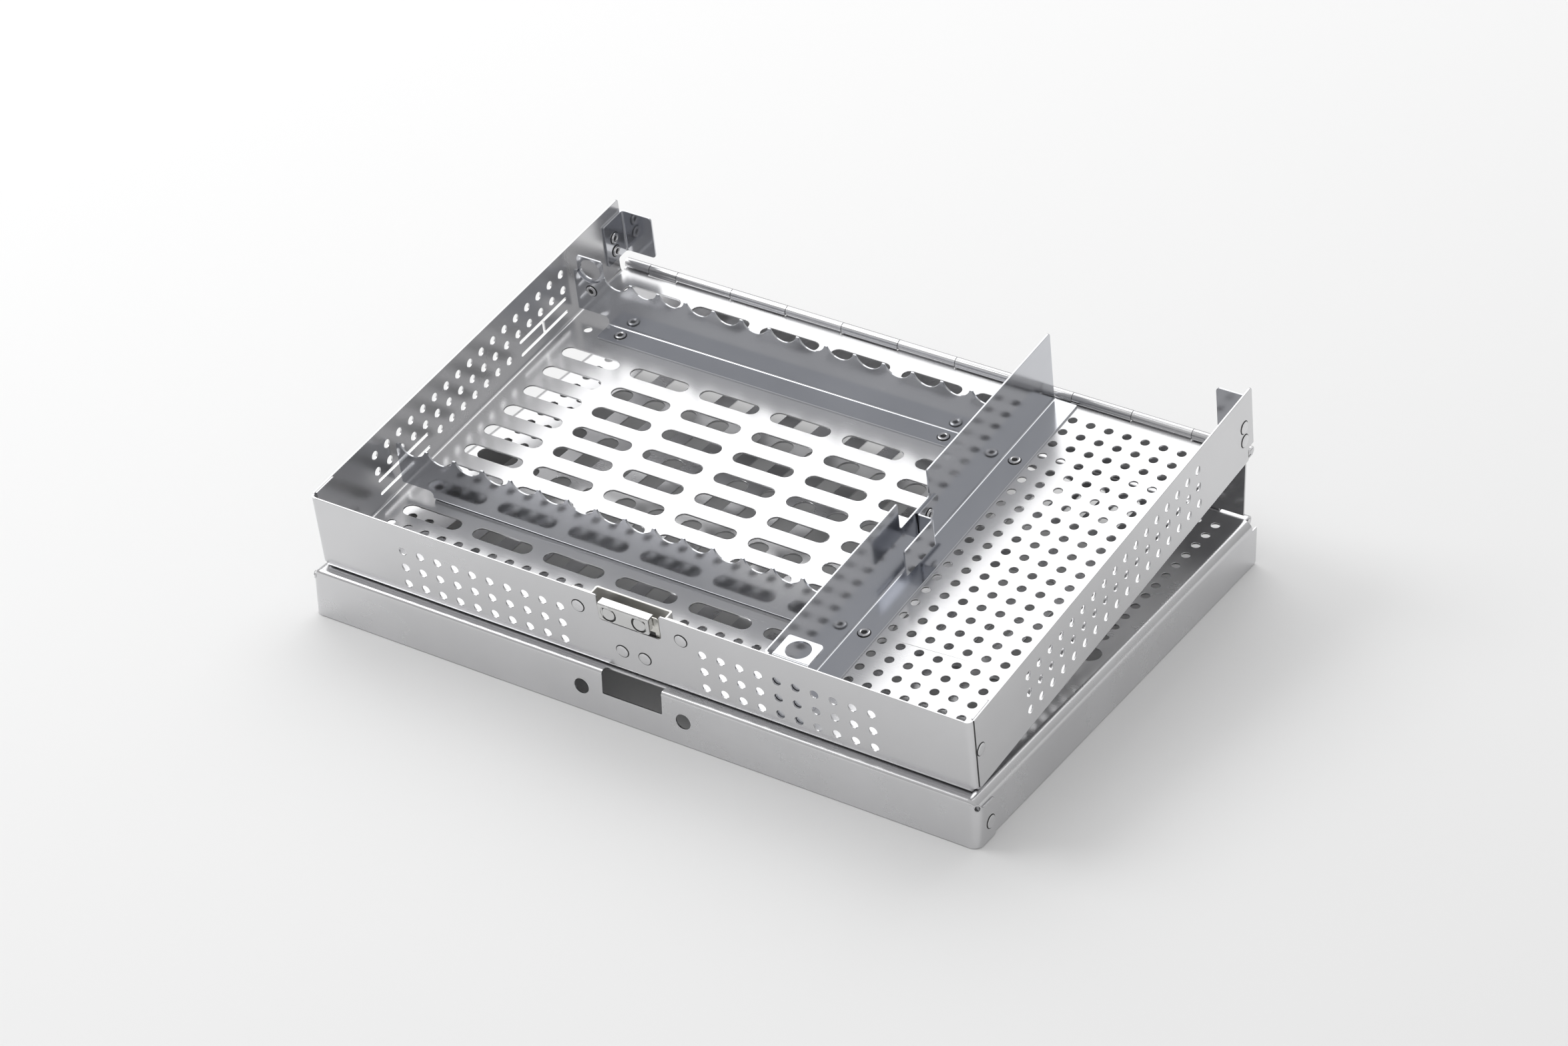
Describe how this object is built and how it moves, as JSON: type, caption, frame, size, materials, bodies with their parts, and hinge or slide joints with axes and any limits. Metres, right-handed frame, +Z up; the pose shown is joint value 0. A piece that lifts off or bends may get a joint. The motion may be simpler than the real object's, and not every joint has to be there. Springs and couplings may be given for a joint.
{
  "type": "instrument sterilization cassette",
  "caption": "Flat folding steel cassette for sterilizing hand instruments: perforated tray with scalloped racks and a partition, hinged spine and lid, push latch.",
  "frame": {"origin": "middle of the object's box on the table, under the opened-out lid", "axes": "+Z up, +Y towards the hinged rear, +X to the right seen from the latch"},
  "size_m": [0.2868, 0.2106, 0.0792],
  "materials": {
    "tray_sheet": "brushed",
    "lid_sheet": "brushed",
    "spine_sheet": "polished",
    "rivet_steel": "satin",
    "pin_steel": "satin",
    "button_steel": "satin",
    "spring_steel": "satin",
    "polished_sheet": "polished"
  },
  "bodies": {
    "tray": {"tray_shell": "tray_sheet", "tray_corner_rivets": "rivet_steel", "right_corner_bracket": "polished_sheet", "left_corner_bracket": "polished_sheet", "bracket_rivets": "rivet_steel", "rear_rack": "polished_sheet", "rear_rack_rivets": "rivet_steel", "front_rack": "polished_sheet", "front_rack_rivets": "rivet_steel", "rack_ear": "polished_sheet", "ear_rivet": "rivet_steel", "partition": "polished_sheet", "partition_rivets": "rivet_steel", "partition_clip": "polished_sheet", "clip_rivet": "rivet_steel", "latch_guard": "spring_steel", "latch_guard_rivets": "rivet_steel", "latch_spring_rivets": "rivet_steel", "tray_hinge_pin": "pin_steel"},
    "latch": {"latch_spring": "spring_steel", "latch_button": "button_steel", "latch_button_studs": "rivet_steel"},
    "spine": {"spine_panel": "spine_sheet"},
    "lid": {"lid_shell": "lid_sheet", "lid_corner_rivets": "rivet_steel", "lid_hinge_pin": "pin_steel"}
  },
  "joints": [
    {"name": "spine_hinge", "type": "hinge", "parent": "tray", "child": "spine", "pos_m": [0, 0.10328, 0.0487], "axis": [1, 0, 0], "range_deg": [0, 187.54]},
    {"name": "lid_hinge", "type": "hinge", "parent": "spine", "child": "lid", "pos_m": [0, 0.10328, 0.018], "axis": [1, 0, 0], "range_deg": [0, 180]},
    {"name": "latch_press", "type": "hinge", "parent": "tray", "child": "latch", "pos_m": [0, -0.09801, 0.02771], "axis": [-1, 0, 0], "range_deg": [0, 6], "stiffness_Nm_per_rad": 1.5}
  ]
}
